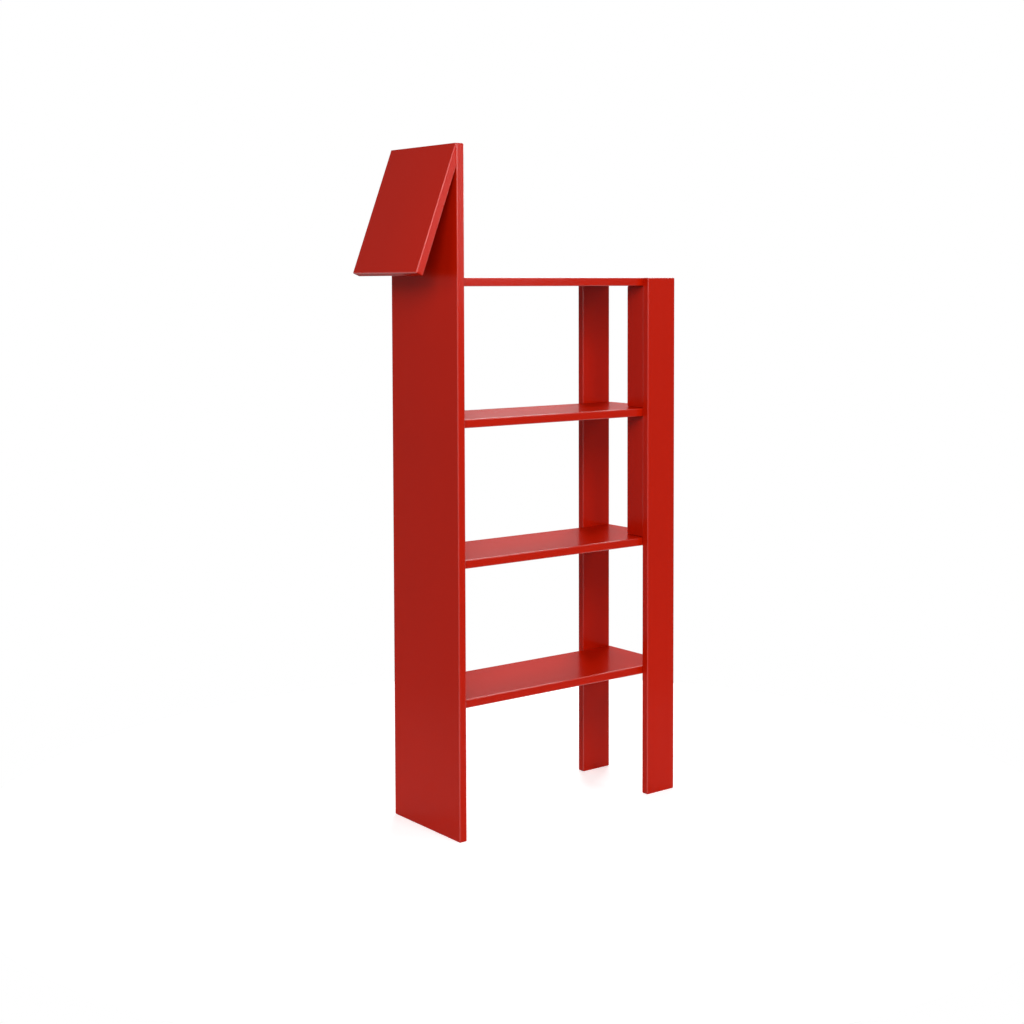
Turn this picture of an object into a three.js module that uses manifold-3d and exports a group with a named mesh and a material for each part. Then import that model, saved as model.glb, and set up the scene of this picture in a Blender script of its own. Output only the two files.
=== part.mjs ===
// Children's bookcase shaped like a giraffe, made of lacquered boards and flat-pack fittings.
// X runs along the width from the neck to the legs, Y from the front to the back, Z up.
// It is worked out from the neck's outer front corner on the floor, and centred at the end.

import * as THREE from 'three';
import { mergeVertices } from 'three/addons/utils/BufferGeometryUtils.js';
import Module from 'manifold-3d';

const wasm = await Module();
wasm.setup();

// Driving sizes of the boards, in millimetres
const boardThickness = 18;
const bodyWidth = 602;
const bodyDepth = 243;
const topShelfHeight = 1168;
const neckRise = 272;
const shelfPitch = 292;
const legWidth = 81;
const headLength = 280.5;
const headSetback = 2.5;
const headTipThickness = 0.5;
const tailWidth = 60;
const tailSetback = 7;
const arrisRadius = 2;
const cornerRadius = 3;

// Clearances
const fitGap = 0.3;
const cutOverrun = 1;

// Wooden dowels between the shelves and the uprights
const dowelRadius = 4;
const dowelChamfer = 0.8;
const dowelUprightDepth = 12;
const dowelShelfDepth = 20;
const legDowelInset = 61;

// Cam fittings: a bolt screwed into the upright, and a cam let into the shelf's underside
const neckCamInset = 40;
const legCamInset = 36;
const camEdgeDistance = 24;
const camBoreRadius = 7.5;
const camCrown = 4.5;
const camRecess = 0.5;
const camSlotLength = 10;
const camSlotWidth = 1.8;
const camSlotDepth = 2.5;
const boltThreadRadius = 2.5;
const boltThreadLength = 11;
const boltPointLength = 2;
const boltPointRadius = 1.2;
const boltCollarRadius = 3.7;
const boltCollarLength = 3;
const boltShankRadius = 2.4;
const boltWaistRadius = 1.5;
const boltWaistLength = 3;
const boltHeadRadius = 2.9;
const boltHeadLength = 4;

// Screws that hold the head board on the neck
const headScrewDrop = 38;
const headScrewInset = 40;
const screwLength = 30;
const screwRadius = 2;
const screwHeadRadius = 4;
const screwHeadLength = 2.2;
const screwPointLength = 4;
const screwRecess = 0.5;
const screwSlotLength = 4.4;
const screwSlotWidth = 0.9;
const screwSlotDepth = 1.2;

// Dowels that stand the tail boards between the shelves
const tailDowelBoardDepth = 12;
const tailDowelShelfDepth = 9;

// Angles, counts and steps
const quarterTurn = Math.PI / 2;
const halfTurn = Math.PI;
const headTilt = THREE.MathUtils.degToRad(20.6);
const arrisSteps = 3;
const cornerSteps = 4;
const roundSides = 12;
const camSides = 20;

// Places that follow from the driving sizes
const overallHeight = topShelfHeight + neckRise;
const shelfLength = bodyWidth - boardThickness;
const shelfDepth = bodyDepth - 2 * boardThickness;
const shelfFront = boardThickness;
const shelfBack = bodyDepth - boardThickness;
const midDepth = bodyDepth / 2;
const legInnerEdge = bodyWidth - legWidth;
const legMiddle = bodyWidth - legWidth / 2;
const tailMiddleX = legInnerEdge + tailSetback + boardThickness / 2;
const tailMiddleY = shelfFront + tailWidth / 2;
const shelves = ['top_shelf', 'upper_shelf', 'middle_shelf', 'lower_shelf'].map((name, level) => {
  const top = topShelfHeight - level * shelfPitch;
  return { name, top, underside: top - boardThickness, middle: top - boardThickness / 2 };
});
const [topShelf, upperShelf, middleShelf] = shelves;

const xAxis = new THREE.Vector3(1, 0, 0);
const yAxis = new THREE.Vector3(0, 1, 0);
const zAxis = new THREE.Vector3(0, 0, 1);

// Finishes
const redLacquer = { color: '#b4281d', roughness: 0.4, metalness: 0 };
const zincPlate = { color: '#b9bcc0', roughness: 0.35, metalness: 1 };
const zincCasting = { color: '#9a9da1', roughness: 0.45, metalness: 1 };
const beech = { color: '#d8b07c', roughness: 0.7, metalness: 0 };

const assembly = new THREE.Group();

function addPiece(name, geometry, finish, place, heading = 0) {
  const mesh = new THREE.Mesh(geometry, new THREE.MeshStandardMaterial(finish));
  mesh.name = name;
  mesh.position.copy(place);
  mesh.rotation.z = heading;
  assembly.add(mesh);
}

// A geometry becomes a closed solid, and a solid a geometry again
function toSolid(geometry) {
  const bare = new THREE.BufferGeometry();
  bare.setAttribute('position', geometry.getAttribute('position'));
  bare.setIndex(geometry.getIndex());
  const welded = mergeVertices(bare);
  return new wasm.Manifold(new wasm.Mesh({
    numProp: 3,
    vertProperties: Float32Array.from(welded.getAttribute('position').array),
    triVerts: Uint32Array.from(welded.getIndex().array),
  }));
}

function toGeometry(solid) {
  const mesh = solid.getMesh();
  const geometry = new THREE.BufferGeometry();
  geometry.setAttribute('position', new THREE.BufferAttribute(mesh.vertProperties, 3));
  geometry.setIndex(new THREE.BufferAttribute(mesh.triVerts, 1));
  geometry.computeVertexNormals();
  return geometry;
}

function cut(geometry, cutters) {
  return toGeometry(cutters.reduce((rest, cutter) => rest.subtract(toSolid(cutter)), toSolid(geometry)));
}

// Round pieces and bores, turned about X from pairs of place along X and radius
function turnedPiece(profile) {
  const points = profile.map(([along, radius]) => new THREE.Vector2(radius, along));
  return new THREE.LatheGeometry(points, roundSides).rotateZ(-quarterTurn);
}

function roundBar(start, end, radius) {
  return turnedPiece([[start, 0], [start, radius], [end, radius], [end, 0]]);
}

function dowelBar(start, end) {
  return turnedPiece([
    [start, 0],
    [start, dowelRadius - dowelChamfer],
    [start + dowelChamfer, dowelRadius],
    [end - dowelChamfer, dowelRadius],
    [end, dowelRadius - dowelChamfer],
    [end, 0],
  ]);
}

// A crosswise pair of slots for a screwdriver, sunk from the origin down
function driverCross(length, width, depth) {
  const height = depth + cutOverrun;
  const arm = toSolid(new THREE.BoxGeometry(length, width, height));
  const crossArm = toSolid(new THREE.BoxGeometry(width, length, height));
  return toGeometry(arm.add(crossArm)).translate(0, 0, (cutOverrun - depth) / 2);
}

// A joint's own frame has its origin where two boards meet, and its heading turns X into the second
function atJoint(geometry, joint) {
  return geometry.clone().rotateZ(joint.heading).translate(joint.place.x, joint.place.y, joint.place.z);
}

function neckJoint(shelf, side, y) {
  const place = new THREE.Vector3(boardThickness, y, shelf.middle);
  return { shelf: shelf.name, upright: 'neck_panel', side, heading: 0, place };
}

// The inset is measured from the legs' inner edges, where the tail boards stand too
function legJoints(shelf, inset) {
  const x = legInnerEdge + inset;
  const front = new THREE.Vector3(x, shelfFront, shelf.middle);
  const back = new THREE.Vector3(x, shelfBack, shelf.middle);
  return [
    { shelf: shelf.name, upright: 'front_leg', side: 'front_leg', heading: quarterTurn, place: front },
    { shelf: shelf.name, upright: 'back_leg', side: 'back_leg', heading: -quarterTurn, place: back },
  ];
}

// Every shelf has two cam fittings at the neck and one at each leg, and a dowel at each of the three
const camJoints = shelves.flatMap((shelf) => [
  neckJoint(shelf, 'neck_front', shelfFront + neckCamInset),
  neckJoint(shelf, 'neck_back', shelfBack - neckCamInset),
  ...legJoints(shelf, legCamInset),
]);
const dowelJoints = shelves.flatMap((shelf) => [
  neckJoint(shelf, 'neck', midDepth),
  ...legJoints(shelf, legDowelInset),
]);

// Cam bolt: thread in the upright, collar on its face, then shank, waist and head in the cam
function camBolt() {
  const threadEnd = fitGap - boltThreadLength;
  const headStart = camEdgeDistance - boltHeadLength / 2;
  const headEnd = camEdgeDistance + boltHeadLength / 2;
  return turnedPiece([
    [threadEnd, 0],
    [threadEnd, boltPointRadius],
    [threadEnd + boltPointLength, boltThreadRadius],
    [fitGap, boltThreadRadius],
    [fitGap, boltCollarRadius],
    [fitGap + boltCollarLength, boltCollarRadius],
    [fitGap + boltCollarLength, boltShankRadius],
    [headStart - boltWaistLength, boltShankRadius],
    [headStart - boltWaistLength, boltWaistRadius],
    [headStart, boltWaistRadius],
    [headStart, boltHeadRadius],
    [headEnd, boltHeadRadius],
    [headEnd, 0],
  ]);
}

// Cam: a round casting with a pocket for the bolt's head and a driver cross in its lower face
function camLock() {
  const bottom = camRecess - boardThickness / 2;
  const top = camCrown - fitGap;
  const radius = camBoreRadius - fitGap;
  const casting = new THREE.CylinderGeometry(radius, radius, top - bottom, camSides);
  casting.rotateX(quarterTurn).translate(camEdgeDistance, 0, (top + bottom) / 2);
  const pocketEnd = camEdgeDistance + boltHeadLength / 2 + fitGap;
  const pocket = roundBar(0, pocketEnd, boltHeadRadius + fitGap);
  const cross = driverCross(camSlotLength, camSlotWidth, camSlotDepth);
  cross.rotateX(halfTurn).translate(camEdgeDistance, 0, bottom);
  return cut(casting, [pocket, cross]);
}

function camBore() {
  const height = boardThickness / 2 + camCrown + cutOverrun;
  const bore = new THREE.CylinderGeometry(camBoreRadius, camBoreRadius, height, camSides);
  return bore.rotateX(quarterTurn).translate(camEdgeDistance, 0, camCrown - height / 2);
}

// Bores of the joints, in the upright and in the shelf
function uprightBores(upright) {
  const threadBore = roundBar(-boltThreadLength, cutOverrun, boltThreadRadius + fitGap);
  return [
    ...camJoints.filter((joint) => joint.upright === upright).map((joint) => atJoint(threadBore, joint)),
    ...dowelBores().filter((bore) => bore.upright === upright).map((bore) => bore.geometry),
  ];
}

function shelfBores(shelf) {
  const boltBore = roundBar(-cutOverrun, camEdgeDistance, boltCollarRadius + fitGap);
  const joints = camJoints.filter((joint) => joint.shelf === shelf.name);
  return [
    ...joints.map((joint) => atJoint(boltBore, joint)),
    ...joints.map((joint) => atJoint(camBore(), joint)),
    ...dowelBores().filter((bore) => bore.shelf === shelf.name).map((bore) => bore.geometry),
    ...tailDowelBores(),
  ];
}

function dowelBores() {
  const bore = roundBar(-dowelUprightDepth, dowelShelfDepth, dowelRadius + fitGap);
  return dowelJoints.map((joint) => ({ ...joint, geometry: atJoint(bore, joint) }));
}

// Tail dowels: one under the top shelf, one through the upper shelf and one in the middle shelf
const tailDowels = [
  {
    name: 'tail_dowel_top',
    bottom: topShelf.underside - tailDowelBoardDepth,
    top: topShelf.underside + tailDowelShelfDepth,
  },
  {
    name: 'tail_dowel_middle',
    bottom: upperShelf.underside - tailDowelBoardDepth,
    top: upperShelf.top + tailDowelBoardDepth,
  },
  {
    name: 'tail_dowel_bottom',
    bottom: middleShelf.top - tailDowelShelfDepth,
    top: middleShelf.top + tailDowelBoardDepth,
  },
];

function tailDowelBores() {
  return tailDowels.map(({ bottom, top }) => (
    roundBar(bottom, top, dowelRadius + fitGap).rotateY(-quarterTurn).translate(tailMiddleX, tailMiddleY, 0)
  ));
}

// Head screws: they go in from the neck's inner face and end inside the head board
const headScrewRows = [
  ['head_screw_front', headScrewInset],
  ['head_screw_middle', midDepth],
  ['head_screw_back', bodyDepth - headScrewInset],
];
const headScrewJoints = headScrewRows.map(([name, y]) => {
  const place = new THREE.Vector3(boardThickness, y, overallHeight - headScrewDrop);
  return { name, heading: halfTurn, place };
});

function headScrew() {
  const shaft = turnedPiece([
    [screwRecess, 0],
    [screwRecess, screwHeadRadius],
    [screwRecess + screwHeadLength, screwRadius],
    [screwLength - screwPointLength, screwRadius],
    [screwLength, 0],
  ]);
  const cross = driverCross(screwSlotLength, screwSlotWidth, screwSlotDepth);
  cross.rotateY(-quarterTurn).translate(screwRecess, 0, 0);
  return cut(shaft, [cross]);
}

function headScrewBores() {
  const bore = turnedPiece([
    [-cutOverrun, 0],
    [-cutOverrun, screwHeadRadius + fitGap],
    [screwRecess, screwHeadRadius + fitGap],
    [screwRecess + screwHeadLength, screwRadius + fitGap],
    [screwLength + fitGap, screwRadius + fitGap],
    [screwLength + fitGap, 0],
  ]);
  return headScrewJoints.map((joint) => atJoint(bore, joint));
}

// A board lying flat, its length along X and its width along Y, with eased corners and arrises
function flatBoard(length, width) {
  const reachX = length / 2 - cornerRadius;
  const reachY = width / 2 - cornerRadius;
  const outline = new THREE.Shape();
  outline.absarc(reachX, -reachY, cornerRadius, -quarterTurn, 0);
  outline.absarc(reachX, reachY, cornerRadius, 0, quarterTurn);
  outline.absarc(-reachX, reachY, cornerRadius, quarterTurn, halfTurn);
  outline.absarc(-reachX, -reachY, cornerRadius, halfTurn, halfTurn + quarterTurn);
  const board = new THREE.ExtrudeGeometry(outline, {
    depth: boardThickness - 2 * arrisRadius,
    bevelThickness: arrisRadius,
    bevelSize: arrisRadius,
    bevelOffset: -arrisRadius,
    bevelSegments: arrisSteps,
    curveSegments: cornerSteps,
  });
  return board.translate(0, 0, arrisRadius - boardThickness / 2);
}

// A board turned so that its length and its width lie along the two given axes
function turnedBoard(length, width, lengthAxis, widthAxis) {
  const faceAxis = new THREE.Vector3().crossVectors(lengthAxis, widthAxis);
  const turn = new THREE.Matrix4().makeBasis(lengthAxis, widthAxis, faceAxis);
  return flatBoard(length, width).applyMatrix4(turn);
}

// A board at its place, drilled by cutters that stand at their places in the bookcase
function addBoard(name, board, place, cutters) {
  const movedCutters = cutters.map((cutter) => cutter.clone().translate(-place.x, -place.y, -place.z));
  addPiece(name, cut(board, movedCutters), redLacquer, place);
}

// Neck: the full-height side board, which stands on the floor
function addNeckPanel() {
  const panel = turnedBoard(overallHeight, bodyDepth, zAxis, yAxis);
  const place = new THREE.Vector3(boardThickness / 2, midDepth, overallHeight / 2);
  addBoard('neck_panel', panel, place, [...uprightBores('neck_panel'), ...headScrewBores()]);
}

// Head: a board that leans out from the neck's top, its upper end cut to lie on the neck's face
function addHeadPanel() {
  const spareLength = boardThickness;
  const length = headLength + spareLength;
  const panel = turnedBoard(length, bodyDepth - 2 * headSetback, zAxis, yAxis);
  panel.translate(boardThickness / 2, 0, spareLength - length / 2);
  panel.rotateY(headTilt).translate(-headTipThickness, 0, 0);
  const reach = overallHeight;
  const neckSide = new THREE.BoxGeometry(reach, reach, reach).translate(reach / 2, 0, 0);
  const overTop = new THREE.BoxGeometry(reach, reach, reach).translate(0, 0, reach / 2);
  const place = new THREE.Vector3(0, midDepth, overallHeight);
  addBoard('head_panel', cut(panel, [neckSide, overTop]), place, headScrewBores());
}

// Shelf: flush with the legs' outer edges, and set back behind the neck's front and back edges
function addShelf(shelf) {
  const place = new THREE.Vector3(boardThickness + shelfLength / 2, midDepth, shelf.middle);
  addBoard(shelf.name, turnedBoard(shelfLength, shelfDepth, xAxis, yAxis), place, shelfBores(shelf));
}

// Leg: as high as the top shelf, one in front of the shelves and one behind them
function addLeg(name, middleY) {
  const leg = turnedBoard(topShelfHeight, legWidth, zAxis, xAxis);
  addBoard(name, leg, new THREE.Vector3(legMiddle, middleY, topShelfHeight / 2), uprightBores(name));
}

// Tail board: a narrow upright behind the front leg that fills the height between two shelves
function addTailBoard(name, shelfAbove, shelfBelow) {
  const height = shelfAbove.underside - shelfBelow.top;
  const place = new THREE.Vector3(tailMiddleX, tailMiddleY, shelfBelow.top + height / 2);
  addBoard(name, turnedBoard(height, tailWidth, zAxis, yAxis), place, tailDowelBores());
}

// Fittings, each copy at its own joint
function addFittings() {
  const bolt = camBolt();
  const lock = camLock();
  for (const joint of camJoints) {
    addPiece(`${joint.shelf}_cam_bolt_${joint.side}`, bolt, zincPlate, joint.place, joint.heading);
    addPiece(`${joint.shelf}_cam_lock_${joint.side}`, lock, zincCasting, joint.place, joint.heading);
  }
  const dowel = dowelBar(fitGap - dowelUprightDepth, dowelShelfDepth - fitGap);
  for (const joint of dowelJoints) {
    addPiece(`${joint.shelf}_dowel_${joint.side}`, dowel, beech, joint.place, joint.heading);
  }
  for (const { name, bottom, top } of tailDowels) {
    const reach = (top - bottom) / 2 - fitGap;
    const upright = dowelBar(-reach, reach).rotateY(-quarterTurn);
    addPiece(name, upright, beech, new THREE.Vector3(tailMiddleX, tailMiddleY, (bottom + top) / 2));
  }
  const screw = headScrew();
  for (const joint of headScrewJoints) {
    addPiece(joint.name, screw, zincPlate, joint.place, joint.heading);
  }
}

addNeckPanel();
addHeadPanel();
for (const shelf of shelves) {
  addShelf(shelf);
}
addLeg('front_leg', boardThickness / 2);
addLeg('back_leg', bodyDepth - boardThickness / 2);
addTailBoard('upper_tail_board', topShelf, upperShelf);
addTailBoard('lower_tail_board', upperShelf, middleShelf);
addFittings();

// The origin goes to the middle of the whole outline, on the floor
assembly.updateMatrixWorld(true);
const middle = new THREE.Box3().setFromObject(assembly, true).getCenter(new THREE.Vector3());
assembly.position.set(-middle.x, -middle.y, 0);

export default assembly;
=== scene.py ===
import math

import bpy
from mathutils import Euler, Matrix, Vector


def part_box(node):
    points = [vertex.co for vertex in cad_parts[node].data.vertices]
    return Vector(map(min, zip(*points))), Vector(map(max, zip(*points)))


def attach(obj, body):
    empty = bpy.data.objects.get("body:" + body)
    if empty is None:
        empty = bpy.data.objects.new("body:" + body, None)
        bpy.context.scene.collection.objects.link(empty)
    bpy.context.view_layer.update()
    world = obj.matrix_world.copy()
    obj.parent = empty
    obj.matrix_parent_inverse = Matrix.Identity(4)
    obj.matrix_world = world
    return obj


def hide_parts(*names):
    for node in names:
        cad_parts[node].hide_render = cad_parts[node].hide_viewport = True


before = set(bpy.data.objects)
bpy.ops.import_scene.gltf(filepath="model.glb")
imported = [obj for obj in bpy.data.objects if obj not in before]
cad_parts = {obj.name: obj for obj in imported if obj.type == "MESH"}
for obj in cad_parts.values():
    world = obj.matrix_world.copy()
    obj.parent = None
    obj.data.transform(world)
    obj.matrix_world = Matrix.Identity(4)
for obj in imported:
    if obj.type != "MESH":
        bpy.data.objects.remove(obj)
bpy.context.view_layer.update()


# Neck: the tall side board that carries the head and the neck ends of the shelves.
# It is 18 mm board, cut to size with rounded corners, its arrises eased with a small
# round-over bit, then sprayed all over with satin red lacquer before it is put together.

def linear(hex_colour):
    """An sRGB hex colour as linear light, with full alpha."""
    channels = [int(hex_colour[i:i + 2], 16) / 255 for i in (1, 3, 5)]
    return (*[c / 12.92 if c <= 0.04045 else ((c + 0.055) / 1.055) ** 2.4 for c in channels], 1.0)


def add_node(tree, kind, settings=None, inputs=None):
    """A shader node with its settings, and each input a value or a link from a socket."""
    node = tree.nodes.new(kind)
    for name, value in (settings or {}).items():
        setattr(node, name, value)
    for name, value in (inputs or {}).items():
        if isinstance(value, bpy.types.NodeSocket):
            tree.links.new(value, node.inputs[name])
        else:
            node.inputs[name].default_value = value
    return node


def new_material(name):
    """A material with an empty principled shader, its tree, and that shader."""
    material = bpy.data.materials.new(name)
    material.use_nodes = True
    return material, material.node_tree, material.node_tree.nodes["Principled BSDF"]


LACQUER_RED = "#C01A03"
LACQUER_DEEP = "#B81803"
CLOUD_SIZE = 0.25
PEEL_SIZE = 0.006
PEEL_DEPTH = 0.00002
RED_ROUGHNESS = 0.6
CLEAR_ROUGHNESS = 0.2
CLEAR_IOR = 1.5
FACE_COAT = 0.17
# The full clear coat on the arrises is a painted highlight along them
ARRIS_HIGHLIGHT_COAT = 1.0
# The mix node has several sockets of each name, so its colours are picked by number
MIX_FIRST = 6
MIX_SECOND = 7
MIX_RESULT = 2


def satin_lacquer(name, clear_coat):
    """Lacquer sprayed on board: a matt red layer without a sheen of its own, then a clear one of the given
    weight, thin on the faces and full on the arrises, where its shine is a painted highlight.
    The gun leaves faint clouds and a faint orange peel, drawn at 6 mm, coarser than real, to show."""
    material, tree, shader = new_material(name)
    place = add_node(tree, "ShaderNodeTexCoord").outputs["Object"]
    clouds = add_node(tree, "ShaderNodeTexNoise", inputs={
        "Vector": place, "Scale": 1 / CLOUD_SIZE, "Detail": 2.0})
    colour = add_node(tree, "ShaderNodeMix", {"data_type": "RGBA"}, {
        "Factor": clouds.outputs["Fac"],
        MIX_FIRST: linear(LACQUER_RED), MIX_SECOND: linear(LACQUER_DEEP)})
    tree.links.new(colour.outputs[MIX_RESULT], shader.inputs["Base Color"])
    peel = add_node(tree, "ShaderNodeTexNoise", inputs={
        "Vector": place, "Scale": 1 / PEEL_SIZE, "Detail": 1.0})
    bump = add_node(tree, "ShaderNodeBump", inputs={
        "Height": peel.outputs["Fac"], "Strength": 1.0, "Distance": PEEL_DEPTH})
    tree.links.new(bump.outputs["Normal"], shader.inputs["Normal"])
    tree.links.new(bump.outputs["Normal"], shader.inputs["Coat Normal"])
    shader.inputs["Roughness"].default_value = RED_ROUGHNESS
    shader.inputs["Specular IOR Level"].default_value = 0.0
    shader.inputs["Coat Weight"].default_value = clear_coat
    shader.inputs["Coat Roughness"].default_value = CLEAR_ROUGHNESS
    shader.inputs["Coat IOR"].default_value = CLEAR_IOR
    return material


# The flat faces have a low sheen. The arrises take a full clear coat, a painted highlight: its strong
# shine draws fine bright lines along them.
lacquer = satin_lacquer("satin_red_lacquer", FACE_COAT)
arris_highlight_lacquer = satin_lacquer("highlight_red_lacquer", ARRIS_HIGHLIGHT_COAT)


def select_only(piece):
    """This piece is the only one selected, and the active one."""
    bpy.ops.object.select_all(action="DESELECT")
    piece.select_set(True)
    bpy.context.view_layer.objects.active = piece


def settle(piece):
    """The piece's place goes into its mesh, and its object to the origin."""
    select_only(piece)
    bpy.ops.object.transform_apply(location=True, rotation=True, scale=True)


def apply_modifier(piece, kind, **settings):
    """A modifier is added with its settings and applied."""
    select_only(piece)
    modifier = piece.modifiers.new(kind.lower(), kind)
    for name, value in settings.items():
        setattr(modifier, name, value)
    bpy.ops.object.modifier_apply(modifier=modifier.name)


def select_edges(piece, wanted):
    """In edit mode, only the edges that wanted(start, end) accepts are selected."""
    bpy.ops.object.mode_set(mode="EDIT")
    bpy.ops.mesh.select_mode(type="EDGE")
    bpy.ops.mesh.select_all(action="DESELECT")
    bpy.ops.object.mode_set(mode="OBJECT")
    points = [vertex.co for vertex in piece.data.vertices]
    for edge in piece.data.edges:
        edge.select = wanted(*[points[i] for i in edge.vertices])
    bpy.ops.object.mode_set(mode="EDIT")


CORNER = 0.003
ARRIS = 0.002
ROUND_SEGMENTS = 5


def rounded_board(name, low, high):
    """A board between two points: its corners are rounded across the thickness, then its arrises.
    The arrises' round faces take the second, shinier lacquer, whose shine paints a highlight along them."""
    size = high - low
    across = list(size).index(min(size))
    bpy.ops.object.select_all(action="DESELECT")
    bpy.ops.mesh.primitive_cube_add(size=1, location=(low + high) / 2)
    board = bpy.context.object
    board.name = name
    board.scale = size
    settle(board)
    board.data.materials.append(lacquer)
    board.data.materials.append(arris_highlight_lacquer)
    select_edges(board, lambda a, b: abs(a[across] - b[across]) > size[across] / 2)
    bpy.ops.mesh.bevel(offset=CORNER, segments=ROUND_SEGMENTS, affect="EDGES")
    bpy.ops.object.mode_set(mode="OBJECT")
    select_edges(board, lambda a, b: abs(a[across] - b[across]) < ARRIS / 2)
    bpy.ops.mesh.bevel(
        offset=ARRIS, segments=ROUND_SEGMENTS, affect="EDGES", clamp_overlap=False, material=1)
    bpy.ops.object.mode_set(mode="OBJECT")
    return board


BORE_SIDES = 48


def round_cutter(middle, axis, length, radius):
    """A cylinder for a bore, centred at a point, its length along one of the three axes."""
    turn = {"x": (0, math.pi / 2, 0), "y": (math.pi / 2, 0, 0), "z": (0, 0, 0)}[axis]
    bpy.ops.object.select_all(action="DESELECT")
    bpy.ops.mesh.primitive_cylinder_add(
        vertices=BORE_SIDES, radius=radius, depth=length, location=middle, rotation=turn)
    cutter = bpy.context.object
    settle(cutter)
    return cutter


FIT = 0.0003


def fitting_bore(node, radius=None):
    """A cutter along the longest side of a fitting's box, with the fit's clearance all round.
    Its radius is given, or else it is the fitting's own with the clearance."""
    low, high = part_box(node)
    size = high - low
    along = list(size).index(max(size))
    widest = max(size[i] for i in range(3) if i != along)
    radius = radius or widest / 2 + FIT
    return round_cutter((low + high) / 2, "xyz"[along], size[along] + 2 * FIT, radius)


def drill(board, cutters):
    """All cutters are taken out of the board, one after the other.
    They have no material of their own, so what they cut takes the board's first."""
    for cutter in cutters:
        apply_modifier(board, "BOOLEAN", operation="DIFFERENCE", solver="MANIFOLD",
                       material_mode="TRANSFER", object=cutter)
        bpy.data.objects.remove(cutter, do_unlink=True)


SMOOTH_ANGLE = math.radians(32)
LARGE_FACE_WEIGHT = 100


def finish_board(board, node):
    """The board is shaded smooth over its roundings, its large faces flat, and takes its node's place."""
    select_only(board)
    bpy.ops.object.shade_smooth_by_angle(angle=SMOOTH_ANGLE)
    apply_modifier(board, "WEIGHTED_NORMAL", keep_sharp=True, weight=LARGE_FACE_WEIGHT)
    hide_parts(node)
    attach(board, "root")


SCREW_RADIUS = 0.002
SCREW_HEAD_RADIUS = 0.004
SCREW_HEAD_LENGTH = 0.0022
# A cutter runs on past the board's face by this much or more
OVERRUN = 0.001


def screw_shaft(node):
    """A cutter for a screw's shaft, which lies along X."""
    low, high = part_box(node)
    return round_cutter((low + high) / 2, "x", high.x - low.x + 2 * FIT, SCREW_RADIUS + FIT)


def countersink(node):
    """Cutters for the cone that a screw's head sits in, and for the shallow recess over it."""
    low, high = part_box(node)
    middle = (low + high) / 2
    bpy.ops.object.select_all(action="DESELECT")
    bpy.ops.mesh.primitive_cone_add(
        vertices=BORE_SIDES, radius1=SCREW_RADIUS + FIT, radius2=SCREW_HEAD_RADIUS + FIT,
        depth=SCREW_HEAD_LENGTH, location=(high.x - SCREW_HEAD_LENGTH / 2, middle.y, middle.z),
        rotation=(0, math.pi / 2, 0))
    cone = bpy.context.object
    settle(cone)
    mouth = Vector((high.x + OVERRUN, middle.y, middle.z))
    return [cone, round_cutter(mouth, "x", 2 * OVERRUN, SCREW_HEAD_RADIUS + FIT)]


SHELVES = ["top_shelf", "upper_shelf", "middle_shelf", "lower_shelf"]
HEAD_SCREWS = ["head_screw_front", "head_screw_middle", "head_screw_back"]
BOLT_THREAD = 0.0025

neck = rounded_board("neck_board", *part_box("neck_panel"))
for shelf in SHELVES:
    for end in ("front", "back"):
        drill(neck, [fitting_bore(f"{shelf}_cam_bolt_neck_{end}", BOLT_THREAD + FIT)])
    drill(neck, [fitting_bore(f"{shelf}_dowel_neck")])
for screw in HEAD_SCREWS:
    drill(neck, [screw_shaft(screw), *countersink(screw)])
finish_board(neck, "neck_panel")


# Head: a second board of the same kind that leans out from the neck's top like a muzzle.
# Its upper end is sawn to a long bevel, which lies flat on the neck's outer face and ends
# level with the neck's top; three screws from the neck's inner face hold it.
HEAD_TILT = math.radians(20.6)
HEAD_LENGTH = 0.2805
# The board is set out by this much, so that its rounded tip keeps to the CAD's box
HEAD_TIP = 0.00047
# It starts longer at the top by this much, which the bevel takes off again
HEAD_SPARE = 0.018

neck_low, neck_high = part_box("neck_panel")
head_low, head_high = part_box("head_panel")
thickness = neck_high.x - neck_low.x
head = rounded_board(
    "head_board",
    Vector((neck_low.x - HEAD_TIP, head_low.y, neck_high.z - HEAD_LENGTH)),
    Vector((neck_low.x - HEAD_TIP + thickness, head_high.y, neck_high.z + HEAD_SPARE)))
bpy.ops.object.mode_set(mode="EDIT")
bpy.ops.mesh.select_all(action="SELECT")
bpy.ops.transform.rotate(value=-HEAD_TILT, orient_axis="Y", orient_type="GLOBAL",
                         center_override=(neck_low.x - HEAD_TIP, 0, neck_high.z))
bpy.ops.mesh.bisect(plane_co=(neck_low.x, 0, 0), plane_no=(1, 0, 0), use_fill=True, clear_outer=True)
bpy.ops.mesh.select_all(action="SELECT")
bpy.ops.mesh.bisect(plane_co=(0, 0, neck_high.z), plane_no=(0, 0, 1), use_fill=True, clear_outer=True)
bpy.ops.object.mode_set(mode="OBJECT")
for screw in HEAD_SCREWS:
    drill(head, [screw_shaft(screw)])
finish_board(head, "head_panel")


# Shelves: four boards alike, set back behind the neck's edges and flush with the legs' outer ends.
# Each is drilled from below for four cams, and in its ends and edges for their bolts and for dowels.
CAM_SIDES = ["neck_front", "neck_back", "front_leg", "back_leg"]
DOWEL_SIDES = ["neck", "front_leg", "back_leg"]
TAIL_DOWELS = {"top_shelf": ["tail_dowel_top"], "upper_shelf": ["tail_dowel_middle"],
               "middle_shelf": ["tail_dowel_bottom"], "lower_shelf": []}


def cam_bore(node, underside):
    """A cutter from below a shelf's underside up to a cam's upper face, with the fit's clearance."""
    low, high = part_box(node)
    top = high.z + FIT
    bottom = underside - OVERRUN
    middle = Vector(((low.x + high.x) / 2, (low.y + high.y) / 2, (top + bottom) / 2))
    return round_cutter(middle, "z", top - bottom, (high.x - low.x) / 2 + FIT)


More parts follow.
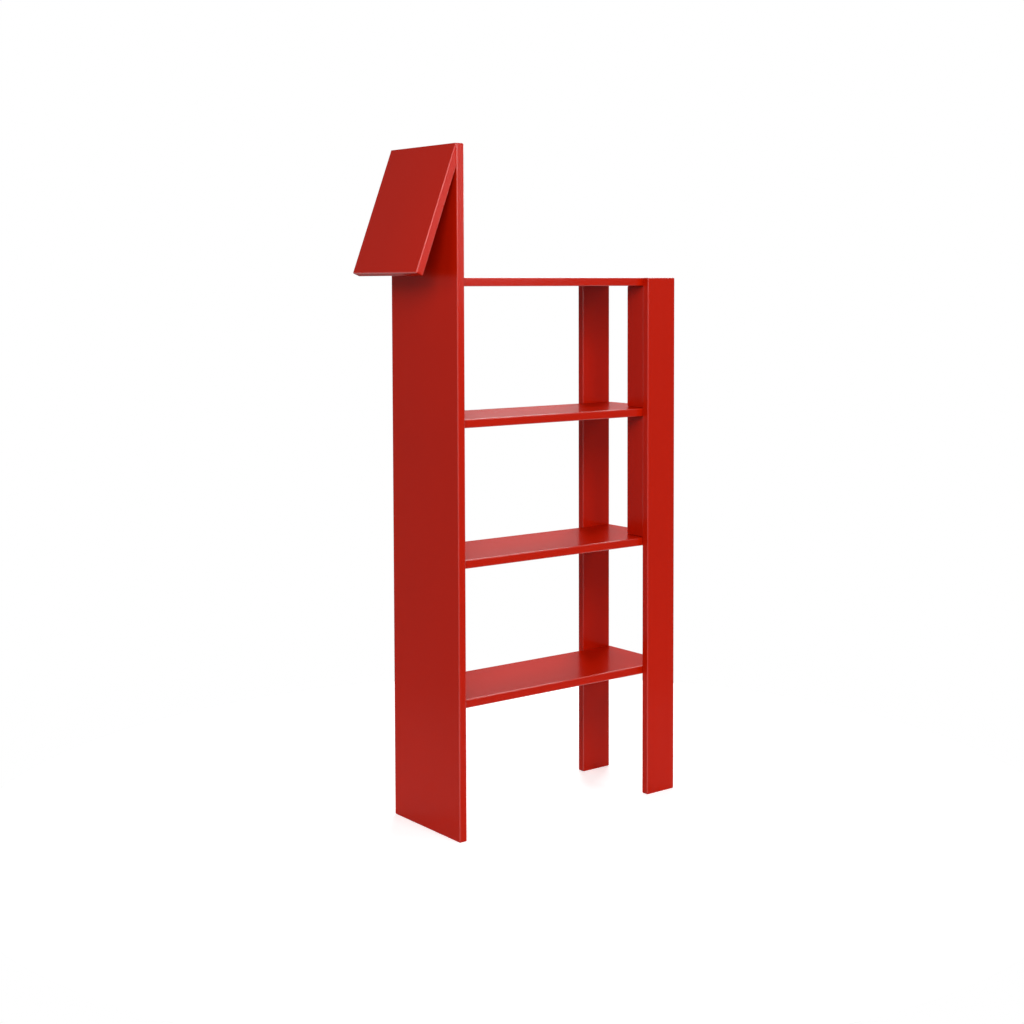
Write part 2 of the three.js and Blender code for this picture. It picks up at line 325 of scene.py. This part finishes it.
for shelf in SHELVES:
    shelf_low, shelf_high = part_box(shelf)
    board = rounded_board(f"{shelf}_board", shelf_low, shelf_high)
    for side in CAM_SIDES:
        drill(board, [fitting_bore(f"{shelf}_cam_bolt_{side}")])
        drill(board, [cam_bore(f"{shelf}_cam_lock_{side}", shelf_low.z)])
    drill(board, [fitting_bore(f"{shelf}_dowel_{side}") for side in DOWEL_SIDES])
    drill(board, [fitting_bore(dowel) for dowel in TAIL_DOWELS[shelf]])
    finish_board(board, shelf)


# Legs: two narrow boards alike, one in front of the shelves and one behind them, as high as the
# top shelf. A bolt and a dowel at every shelf hold each of them, and their outer faces stay whole.
for leg in ("front_leg", "back_leg"):
    board = rounded_board(f"{leg}_board", *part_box(leg))
    for shelf in SHELVES:
        drill(board, [fitting_bore(f"{shelf}_cam_bolt_{leg}", BOLT_THREAD + FIT)])
        drill(board, [fitting_bore(f"{shelf}_dowel_{leg}")])
    finish_board(board, leg)


# Tail: two short uprights behind the front leg, one over the other, between the upper shelves.
# Dowels in their ends hold them, the middle one right through the shelf between them.
for tail, dowels in {"upper_tail_board": ["tail_dowel_top", "tail_dowel_middle"],
                     "lower_tail_board": ["tail_dowel_middle", "tail_dowel_bottom"]}.items():
    board = rounded_board(f"{tail}_shown", *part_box(tail))
    drill(board, [fitting_bore(dowel) for dowel in dowels])
    finish_board(board, tail)


# Cams: round zinc castings let into the shelves' undersides, which pull the bolts' heads in when
# they are turned. The lower face shows a driver cross, and a pointer that says which way it locks.
CAM_RIM = 0.0004
CAM_RIM_SEGMENTS = 2
CAM_CROSS_LENGTH = 0.010
CAM_CROSS_WIDTH = 0.0018
CAM_CROSS_DEPTH = 0.0025
CAM_POINTER_LENGTH = 0.0016
CAM_POINTER_DEPTH = 0.0004
BOLT_HEAD_RADIUS = 0.0029
ZINC_CAST = "#9C9FA3"
CAST_SMOOTHEST = 0.38
CAST_ROUGHEST = 0.56
GRIT_SIZE = 0.0006
GRIT_DEPTH = 0.00003


def cast_zinc():
    """Zinc alloy, die-cast and left as it comes out of the tool: grey, dull, a little uneven.
    Its fine grit is drawn at 0.6 mm so that it can show on so small a face."""
    material, tree, shader = new_material("cast_zinc_alloy")
    place = add_node(tree, "ShaderNodeTexCoord").outputs["Object"]
    grit = add_node(tree, "ShaderNodeTexNoise", inputs={
        "Vector": place, "Scale": 1 / GRIT_SIZE, "Detail": 3.0})
    dullness = add_node(tree, "ShaderNodeMapRange", inputs={
        "Value": grit.outputs["Fac"], "To Min": CAST_SMOOTHEST, "To Max": CAST_ROUGHEST})
    tree.links.new(dullness.outputs["Result"], shader.inputs["Roughness"])
    bump = add_node(tree, "ShaderNodeBump", inputs={
        "Height": grit.outputs["Fac"], "Strength": 0.5, "Distance": GRIT_DEPTH})
    tree.links.new(bump.outputs["Normal"], shader.inputs["Normal"])
    shader.inputs["Base Color"].default_value = linear(ZINC_CAST)
    shader.inputs["Metallic"].default_value = 1.0
    return material


def box_cutter(middle, size, turn=0.0):
    """A block to cut with, turned about the vertical through its middle."""
    bpy.ops.object.select_all(action="DESELECT")
    bpy.ops.mesh.primitive_cube_add(size=1, location=middle, rotation=(0, 0, turn))
    cutter = bpy.context.object
    cutter.scale = size
    settle(cutter)
    return cutter


def first_cam():
    """The cam of a joint that heads along +X, built about its own middle.
    Its rims are eased, a pocket takes the bolt's head, and a cross and a pointer mark its lower face."""
    low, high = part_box("top_shelf_cam_lock_neck_front")
    bolt_low, bolt_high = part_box("top_shelf_cam_bolt_neck_front")
    middle = (low + high) / 2
    radius = (high.x - low.x) / 2
    bottom = (low.z - high.z) / 2
    bpy.ops.object.select_all(action="DESELECT")
    bpy.ops.mesh.primitive_cylinder_add(vertices=BORE_SIDES, radius=radius, depth=high.z - low.z)
    cam = bpy.context.object
    cam.data.materials.append(zinc)
    select_edges(cam, lambda a, b: abs(a.z - b.z) < CAM_RIM / 2)
    bpy.ops.mesh.bevel(offset=CAM_RIM, segments=CAM_RIM_SEGMENTS, affect="EDGES")
    bpy.ops.object.mode_set(mode="OBJECT")
    pocket_start = -2 * radius
    pocket_end = bolt_high.x + FIT - middle.x
    pocket_middle = Vector(((pocket_start + pocket_end) / 2, 0, (bolt_low.z + bolt_high.z) / 2 - middle.z))
    arm = (CAM_CROSS_LENGTH, CAM_CROSS_WIDTH, 2 * CAM_CROSS_DEPTH)
    pointer_middle = (radius - CAM_POINTER_LENGTH, 0, bottom)
    pointer_size = (CAM_POINTER_LENGTH, CAM_POINTER_LENGTH, 2 * CAM_POINTER_DEPTH)
    drill(cam, [
        round_cutter(pocket_middle, "x", pocket_end - pocket_start, BOLT_HEAD_RADIUS + FIT),
        box_cutter((0, 0, bottom), arm),
        box_cutter((0, 0, bottom), arm, math.pi / 2),
        box_cutter(pointer_middle, pointer_size, math.pi / 4),
    ])
    select_only(cam)
    bpy.ops.object.shade_smooth_by_angle(angle=SMOOTH_ANGLE)
    return cam


def copy_to(first, name, middle, heading=0.0):
    """A copy with its own mesh, turned about the vertical and moved to its place."""
    select_only(first)
    bpy.ops.object.duplicate(linked=False)
    copied = bpy.context.object
    copied.name = name
    copied.rotation_euler.z = heading
    copied.location = middle
    settle(copied)
    return copied


zinc = cast_zinc()
cam_pattern = first_cam()
HEADINGS = {"neck_front": 0.0, "neck_back": 0.0, "front_leg": math.pi / 2, "back_leg": -math.pi / 2}
for shelf in SHELVES:
    for side, heading in HEADINGS.items():
        node = f"{shelf}_cam_lock_{side}"
        low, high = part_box(node)
        cam = copy_to(cam_pattern, f"{node}_shown", (low + high) / 2, heading)
        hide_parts(node)
        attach(cam, "root")
bpy.data.objects.remove(cam_pattern, do_unlink=True)


# Bolts and screws: zinc-plated steel. The bolts are hidden in the boards, so their plain solids
# stay; the three head screws show in the neck's inner face, so they get a real head and thread.
BRIGHT_ZINC = "#C4C7CA"
PLATE_SMOOTHEST = 0.24
PLATE_ROUGHEST = 0.36
SCREW_CROSS_LENGTH = 0.0044
SCREW_CROSS_WIDTH = 0.0009
SCREW_CROSS_DEPTH = 0.0014
SCREW_POINT_LENGTH = 0.004
SCREW_POINT_RADIUS = 0.00013
SCREW_CORE_RADIUS = 0.0013
SCREW_SIDES = 32
SCREW_SMOOTH_ANGLE = math.radians(40)
THREAD_PITCH = 0.0018


def bright_zinc():
    """Steel wire, cold-headed and electroplated with zinc: bright, with a fine satin grain."""
    material, tree, shader = new_material("bright_zinc_plate")
    place = add_node(tree, "ShaderNodeTexCoord").outputs["Object"]
    grain = add_node(tree, "ShaderNodeTexNoise", inputs={
        "Vector": place, "Scale": 1 / GRIT_SIZE, "Detail": 2.0})
    sheen = add_node(tree, "ShaderNodeMapRange", inputs={
        "Value": grain.outputs["Fac"], "To Min": PLATE_SMOOTHEST, "To Max": PLATE_ROUGHEST})
    tree.links.new(sheen.outputs["Result"], shader.inputs["Roughness"])
    shader.inputs["Base Color"].default_value = linear(BRIGHT_ZINC)
    shader.inputs["Metallic"].default_value = 1.0
    return material


def extrude_rings(profile):
    """In edit mode, the selected disc at the profile's start is drawn out ring by ring along -X."""
    for (start, radius), (end, next_radius) in zip(profile, profile[1:]):
        bpy.ops.mesh.extrude_region_move(TRANSFORM_OT_translate={"value": (start - end, 0, 0)})
        share = next_radius / radius
        bpy.ops.transform.resize(value=(1, share, share), center_override=(-end, 0, 0))


def first_screw():
    """A countersunk screw along -X with its head's face at the origin: head, neck, ridged thread, point.
    The thread's ridges are rings, where a real one winds on."""
    low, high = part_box(HEAD_SCREWS[0])
    length = high.x - low.x
    place = 2 * SCREW_HEAD_LENGTH
    profile = [(0.0, SCREW_HEAD_RADIUS), (SCREW_HEAD_LENGTH, SCREW_RADIUS), (place, SCREW_CORE_RADIUS)]
    while place + THREAD_PITCH < length - SCREW_POINT_LENGTH:
        profile.append((place + THREAD_PITCH / 2, SCREW_RADIUS))
        profile.append((place + THREAD_PITCH, SCREW_CORE_RADIUS))
        place += THREAD_PITCH
    profile.append((length, SCREW_POINT_RADIUS))
    bpy.ops.object.select_all(action="DESELECT")
    bpy.ops.mesh.primitive_circle_add(
        vertices=SCREW_SIDES, radius=SCREW_HEAD_RADIUS, fill_type="NGON", rotation=(0, math.pi / 2, 0))
    screw = bpy.context.object
    screw.data.materials.append(plate)
    settle(screw)
    bpy.ops.object.mode_set(mode="EDIT")
    bpy.ops.mesh.select_all(action="SELECT")
    extrude_rings(profile)
    bpy.ops.mesh.select_all(action="SELECT")
    bpy.ops.mesh.normals_make_consistent(inside=False)
    bpy.ops.object.mode_set(mode="OBJECT")
    arm = (2 * SCREW_CROSS_DEPTH, SCREW_CROSS_LENGTH, SCREW_CROSS_WIDTH)
    cross_arm = (2 * SCREW_CROSS_DEPTH, SCREW_CROSS_WIDTH, SCREW_CROSS_LENGTH)
    drill(screw, [box_cutter((0, 0, 0), arm), box_cutter((0, 0, 0), cross_arm)])
    select_only(screw)
    bpy.ops.object.shade_smooth_by_angle(angle=SCREW_SMOOTH_ANGLE)
    return screw


plate = bright_zinc()
for shelf in SHELVES:
    for side in CAM_SIDES:
        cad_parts[f"{shelf}_cam_bolt_{side}"].material_slots[0].material = plate
screw_pattern = first_screw()
for node in HEAD_SCREWS:
    low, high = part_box(node)
    face_middle = Vector((high.x, (low.y + high.y) / 2, (low.z + high.z) / 2))
    screw = copy_to(screw_pattern, f"{node}_shown", face_middle)
    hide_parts(node)
    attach(screw, "root")
bpy.data.objects.remove(screw_pattern, do_unlink=True)


# Dowels: plain turned beech, glued into bores in the boards. None of them shows once the bookcase
# is together, so their solids stay and only get the wood.
BEECH_LIGHT = "#DDBB8C"
BEECH_DARK = "#C79C68"
BEECH_FLECK = 0.0012
BEECH_ROUGHNESS = 0.65


def turned_beech():
    """Beech, turned and left raw: pale pinkish brown with short dark flecks, quite matt."""
    material, tree, shader = new_material("turned_beech")
    place = add_node(tree, "ShaderNodeTexCoord").outputs["Object"]
    flecks = add_node(tree, "ShaderNodeTexNoise", inputs={
        "Vector": place, "Scale": 1 / BEECH_FLECK, "Detail": 4.0})
    colour = add_node(tree, "ShaderNodeMix", {"data_type": "RGBA"}, {
        "Factor": flecks.outputs["Fac"],
        MIX_FIRST: linear(BEECH_LIGHT), MIX_SECOND: linear(BEECH_DARK)})
    tree.links.new(colour.outputs[MIX_RESULT], shader.inputs["Base Color"])
    shader.inputs["Roughness"].default_value = BEECH_ROUGHNESS
    return material


beech = turned_beech()
shelf_dowels = [f"{shelf}_dowel_{side}" for shelf in SHELVES for side in DOWEL_SIDES]
tail_dowels = [dowel for dowels in TAIL_DOWELS.values() for dowel in dowels]
for dowel in shelf_dowels + tail_dowels:
    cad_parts[dowel].material_slots[0].material = beech


# Floor and surround: a round pale matt floor in a white surround. Both show white to the camera and
# in reflections, the floor with the object's faint shadow; the surround lights next to nothing.
FLOOR_RADIUS = 1.2
FLOOR_SIDES = 128
FLOOR_COLOUR = "#F2F2F2"
FLOOR_ROUGHNESS = 0.9
FLOOR_GLOW = 0.5
WHITE = (1.0, 1.0, 1.0, 1.0)
SURROUND_LIGHT = 0.03
SURROUND_SHOWN = 1.0


def seen_rays(tree):
    """A socket that is 1 for the camera's rays and for those that a surface reflects or lets through."""
    path = add_node(tree, "ShaderNodeLightPath")
    shown = add_node(tree, "ShaderNodeMath", {"operation": "MAXIMUM"}, {
        0: path.outputs["Is Camera Ray"], 1: path.outputs["Is Glossy Ray"]})
    either = add_node(tree, "ShaderNodeMath", {"operation": "MAXIMUM"}, {
        0: shown.outputs[0], 1: path.outputs["Is Transmission Ray"]})
    return either.outputs[0]


def studio_floor():
    """Matt pale board, lit by the lamps. For seen rays it glows as well, so that it shows white."""
    material, tree, shader = new_material("studio_floor")
    shader.inputs["Base Color"].default_value = linear(FLOOR_COLOUR)
    shader.inputs["Roughness"].default_value = FLOOR_ROUGHNESS
    shader.inputs["Specular IOR Level"].default_value = 0.0
    glow = add_node(tree, "ShaderNodeMath", {"operation": "MULTIPLY"}, {0: seen_rays(tree), 1: FLOOR_GLOW})
    tree.links.new(glow.outputs[0], shader.inputs["Emission Strength"])
    shader.inputs["Emission Color"].default_value = WHITE
    return material


bpy.ops.object.select_all(action="DESELECT")
bpy.ops.mesh.primitive_circle_add(
    vertices=FLOOR_SIDES, radius=FLOOR_RADIUS, fill_type="NGON", location=(0, 0, 0))
floor = bpy.context.object
floor.name = "studio_floor"
floor.data.materials.append(studio_floor())

world = bpy.data.worlds.new("studio_surround")
bpy.context.scene.world = world
world.use_nodes = True
background = world.node_tree.nodes["Background"]
background.inputs["Color"].default_value = WHITE
strength = add_node(world.node_tree, "ShaderNodeMapRange", inputs={
    "Value": seen_rays(world.node_tree), "To Min": SURROUND_LIGHT, "To Max": SURROUND_SHOWN})
world.node_tree.links.new(strength.outputs["Result"], background.inputs["Strength"])


# Lights: eight soft boxes, all turned to the bookcase's middle. Those in front and on the left make
# the picture's broad light, and the two behind it on the right brighten the shelves' upper faces.
LIGHT_TARGET = Vector((0, 0, 0.7))


def soft_light(name, bearing, height, distance, size, power):
    """A soft box round the target, its bearing in degrees from the back over the right side."""
    level = distance * math.cos(math.radians(height))
    place = LIGHT_TARGET + Vector((
        level * math.sin(math.radians(bearing)), level * math.cos(math.radians(bearing)),
        distance * math.sin(math.radians(height))))
    bpy.ops.object.select_all(action="DESELECT")
    bpy.ops.object.light_add(type="AREA", location=place)
    light = bpy.context.object
    light.name = name
    light.data.shape = "RECTANGLE"
    light.data.size, light.data.size_y = size
    light.data.energy = power
    light.rotation_euler = (LIGHT_TARGET - place).to_track_quat("-Z", "Y").to_euler()


soft_light("high_front_light", bearing=180, height=36, distance=4.5, size=(1.2, 1.2), power=47)
soft_light("low_front_light", bearing=180, height=14, distance=4.5, size=(1.2, 1.2), power=20)
soft_light("front_left_light", bearing=222, height=28, distance=2.6, size=(1.0, 1.0), power=33)
soft_light("left_light", bearing=255, height=25, distance=4.5, size=(1.2, 1.2), power=20)
soft_light("left_wall_light", bearing=270, height=8, distance=3.5, size=(2.4, 2.4), power=18)
soft_light("front_right_light", bearing=150, height=18, distance=3.2, size=(0.9, 1.2), power=20)
soft_light("low_back_light", bearing=45, height=25, distance=3.0, size=(1.2, 1.2), power=30)
soft_light("high_back_light", bearing=45, height=50, distance=3.0, size=(1.2, 1.2), power=42)


# Camera: the place, direction and lens that were worked out from the straight edges of the boards in
# the photograph. The shift of the lens puts the bookcase where the picture has it.
CAMERA_PLACE = (-2.19563, -2.84086, 1.15275)
CAMERA_YAW = math.radians(38.026)
CAMERA_PITCH = math.radians(-3.173)
CAMERA_ROLL = math.radians(-0.140)
CAMERA_LENS = 57.778
CAMERA_SHIFT = (-0.01607, -0.13283)

bpy.ops.object.select_all(action="DESELECT")
bpy.ops.object.camera_add(location=CAMERA_PLACE)
camera = bpy.context.object
camera.name = "camera"
aim = Euler((math.pi / 2 + CAMERA_PITCH, 0, -CAMERA_YAW)).to_matrix()
camera.rotation_euler = (aim @ Matrix.Rotation(CAMERA_ROLL, 3, "Z")).to_euler()
camera.data.lens = CAMERA_LENS
camera.data.shift_x, camera.data.shift_y = CAMERA_SHIFT
bpy.context.scene.camera = camera
bpy.context.scene.view_settings.view_transform = "Standard"
